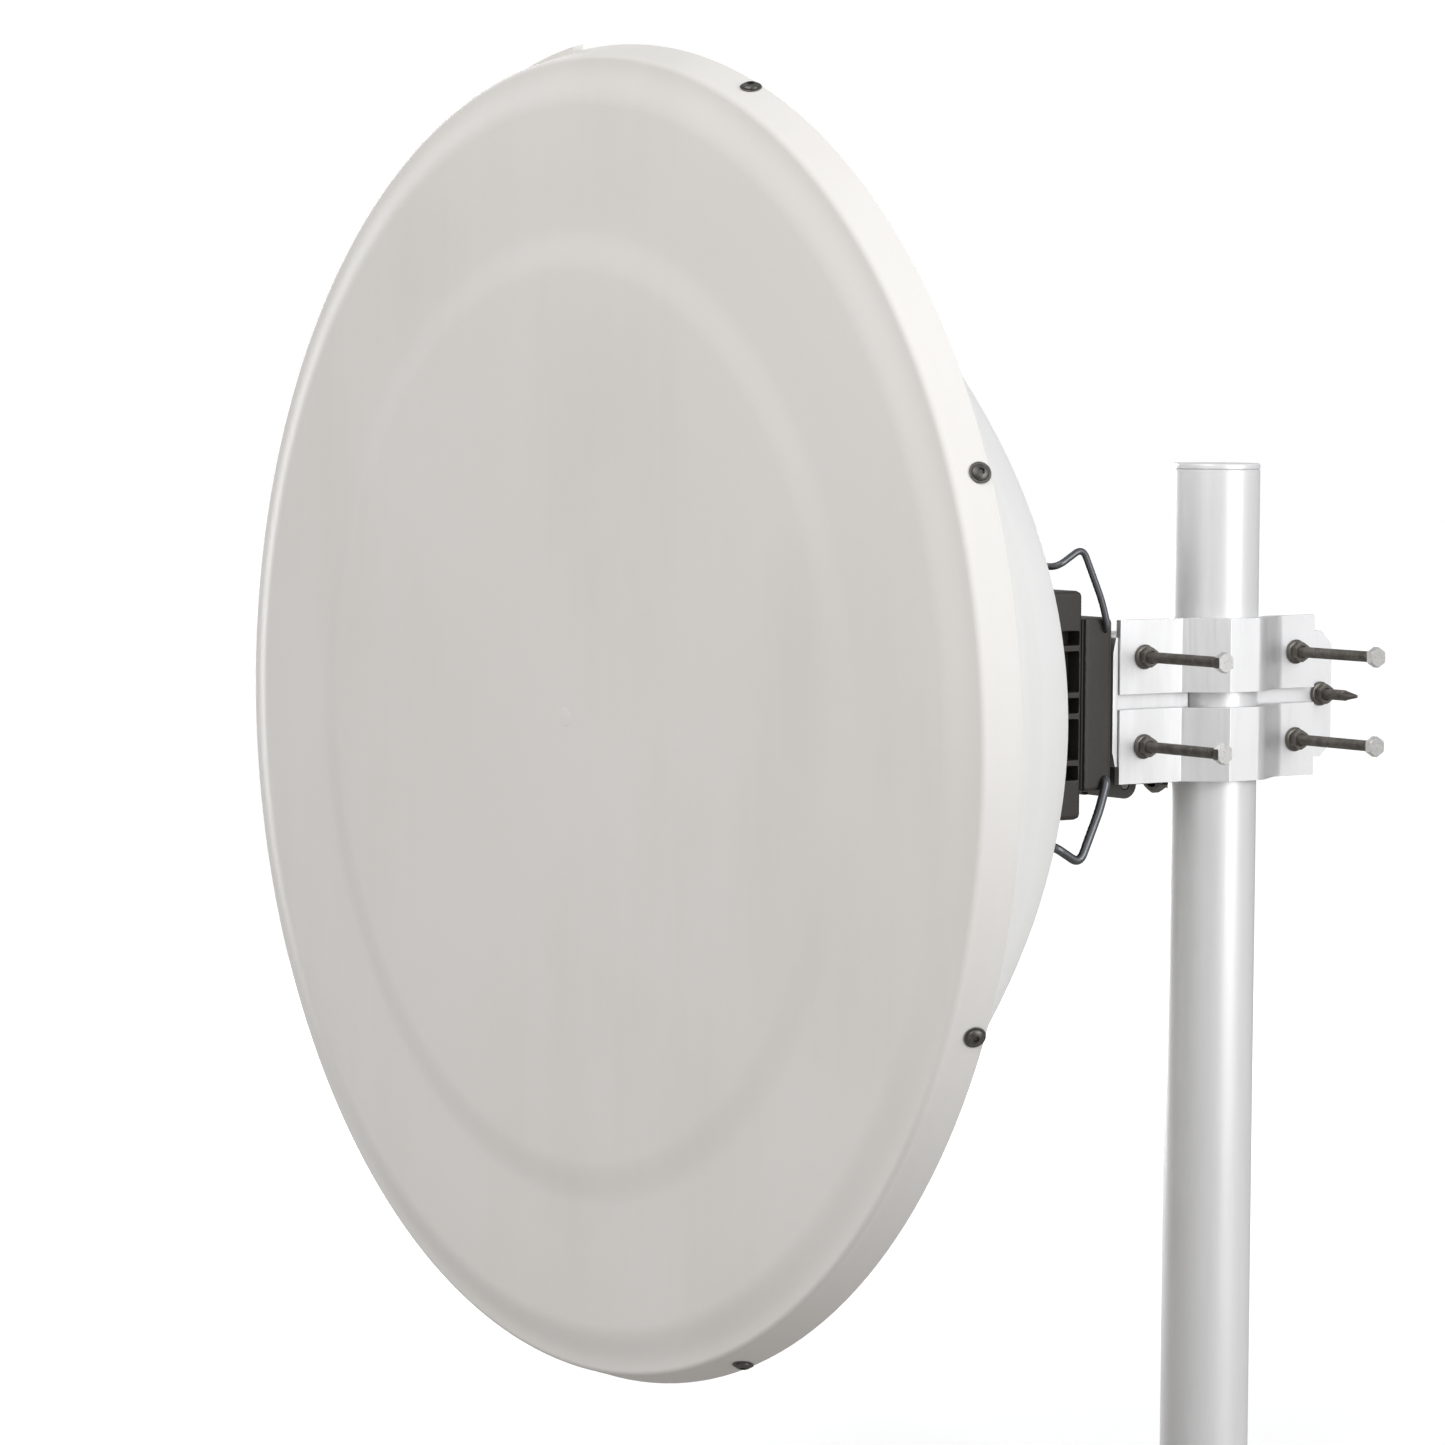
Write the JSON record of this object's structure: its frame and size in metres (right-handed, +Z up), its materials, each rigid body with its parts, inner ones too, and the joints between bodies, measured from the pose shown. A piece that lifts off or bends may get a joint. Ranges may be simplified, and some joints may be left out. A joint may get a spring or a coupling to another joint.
{
  "type": "outdoor wireless bridge",
  "caption": "Covered round dish with a latched radio unit behind it, tilting on a two-saddle clamp that grips a round mast.",
  "frame": {"origin": "centre of the mast's flat foot", "axes": "+Z up the mast, -Y the way the dish looks at rest, +X the way the clamp's saddles and bolts face"},
  "size_m": [0.914, 0.6433, 1.077],
  "materials": {
    "white_plastic": "satin moulded, ultraviolet-stable",
    "white_paint": "white powder coat on spun aluminium",
    "bright_aluminium": "bright extruded, fine grain",
    "dark_cast_metal": "dark olive-grey cast surface",
    "bright_steel": "stainless, bright",
    "dark_steel": "dark plated thread",
    "light_grey_paint": "smooth light grey paint on steel tube",
    "black_rubber": "matte",
    "green_board": "solder-masked board",
    "black_plastic": "matte"
  },
  "bodies": {
    "mast": {"mast_tube": "light_grey_paint", "mast_cap": "light_grey_paint", "mast_foot": "light_grey_paint"},
    "clamp": {"clamp_block": "bright_aluminium", "earth_stud": "dark_steel", "earth_nut": "dark_steel", "rod_anchor": "dark_cast_metal", "anchor_barrel": "bright_steel", "rod_nut_front": "bright_steel", "rod_nut_rear": "bright_steel", "clamp_bolt_1": "bright_steel", "clamp_bolt_2": "bright_steel", "clamp_bolt_3": "bright_steel", "clamp_bolt_4": "bright_steel"},
    "upper_saddle": {"saddle_upper": "bright_aluminium", "clamp_nut_1": "dark_steel", "clamp_nut_2": "dark_steel"},
    "lower_saddle": {"saddle_lower": "bright_aluminium", "clamp_nut_3": "dark_steel", "clamp_nut_4": "dark_steel"},
    "dish": {"tilt_bracket": "dark_cast_metal", "tilt_pin": "bright_steel", "lever_pin": "bright_steel", "bracket_bolt_1": "bright_steel", "bracket_bolt_2": "bright_steel", "bracket_bolt_3": "bright_steel", "bracket_bolt_4": "bright_steel", "radio_cover": "dark_cast_metal", "radio_gasket": "black_rubber", "radio_housing": "dark_cast_metal", "main_board": "green_board", "rf_shield": "bright_steel", "waveguide": "bright_aluminium", "cable_gland": "black_plastic", "gland_plug": "black_rubber", "vent_plug": "black_plastic", "hub_collar": "dark_cast_metal", "hub_bolt_1": "bright_steel", "hub_bolt_2": "bright_steel", "hub_bolt_3": "bright_steel", "hub_bolt_4": "bright_steel", "reflector": "white_paint", "rim_ring": "white_paint", "radome": "white_plastic", "feed_tube": "bright_aluminium", "splash_plate": "white_plastic", "rim_screw_1": "bright_steel", "rim_screw_2": "bright_steel", "rim_screw_3": "bright_steel", "rim_screw_4": "bright_steel", "rim_screw_5": "bright_steel", "rim_screw_6": "bright_steel", "rim_screw_7": "bright_steel", "rim_screw_8": "bright_steel"},
    "rod": {"elevation_rod": "dark_steel"},
    "latch_a": {"latch_upper": "dark_steel"},
    "latch_b": {"latch_lower": "dark_steel"}
  },
  "joints": [
    {"name": "mast_swivel", "type": "hinge", "parent": "mast", "child": "clamp", "pos_m": [0, 0, 0.62], "axis": [0, 0, 1], "continuous": true},
    {"name": "upper_saddle_slide", "type": "slide", "parent": "clamp", "child": "upper_saddle", "axis": [1, 0, 0], "range_m": [0, 0.065]},
    {"name": "lower_saddle_slide", "type": "slide", "parent": "clamp", "child": "lower_saddle", "axis": [1, 0, 0], "range_m": [0, 0.065]},
    {"name": "dish_tilt", "type": "hinge", "parent": "clamp", "child": "dish", "pos_m": [-0.05, -0.085, 0.62], "axis": [-1, 0, 0], "range_deg": [-15, 15]},
    {"name": "rod_swing", "type": "hinge", "parent": "dish", "child": "rod", "pos_m": [-0.05, -0.085, 0.559], "axis": [-1, 0, 0], "range_deg": [-15, 15]},
    {"name": "upper_latch_swing", "type": "hinge", "parent": "dish", "child": "latch_a", "pos_m": [-0.05, -0.1275, 0.674], "axis": [-1, 0, 0], "range_deg": [0, 90]},
    {"name": "lower_latch_swing", "type": "hinge", "parent": "dish", "child": "latch_b", "pos_m": [-0.05, -0.1275, 0.566], "axis": [1, 0, 0], "range_deg": [0, 90]}
  ],
  "couplings": [
    {"joint": "rod_swing", "follows": "dish_tilt", "ratio": -1}
  ]
}
